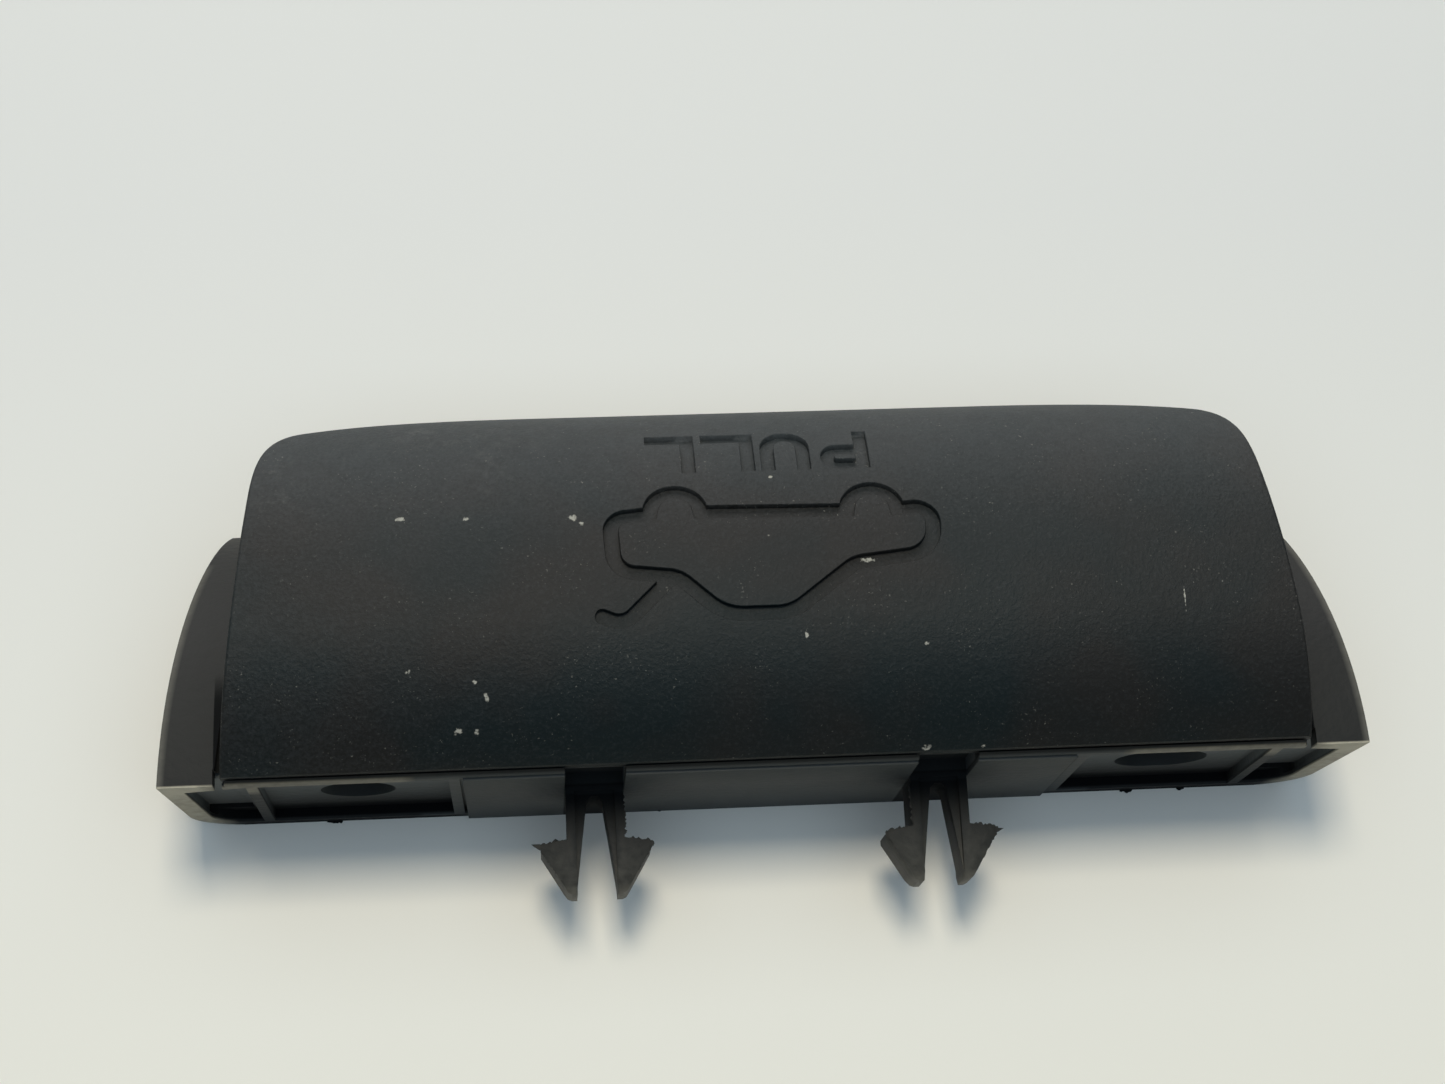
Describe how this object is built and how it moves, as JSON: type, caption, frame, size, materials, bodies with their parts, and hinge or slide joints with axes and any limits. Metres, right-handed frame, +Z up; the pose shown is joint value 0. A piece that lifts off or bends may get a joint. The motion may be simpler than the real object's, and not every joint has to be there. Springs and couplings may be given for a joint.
{
  "type": "trunk pull handle",
  "caption": "Curved moulded pull handle for the inside of a trunk lid, with snap prongs and fixing holes on its mounting flange.",
  "frame": {"origin": "middle of the pad that lies on the lid, on the mounting face", "axes": "+X along the handle, to the right for someone facing the mounting face; +Y from the mounting face into the grip; +Z up, towards the crest of the grip"},
  "size_m": [0.175, 0.0725, 0.0421],
  "materials": {
    "carrier": "black moulded plastic, satin, smooth on the wings",
    "grip_cover": "black moulded plastic with a fine even grain"
  },
  "bodies": {
    "root": {"carrier": "carrier", "grip_cover": "grip_cover"}
  },
  "joints": []
}
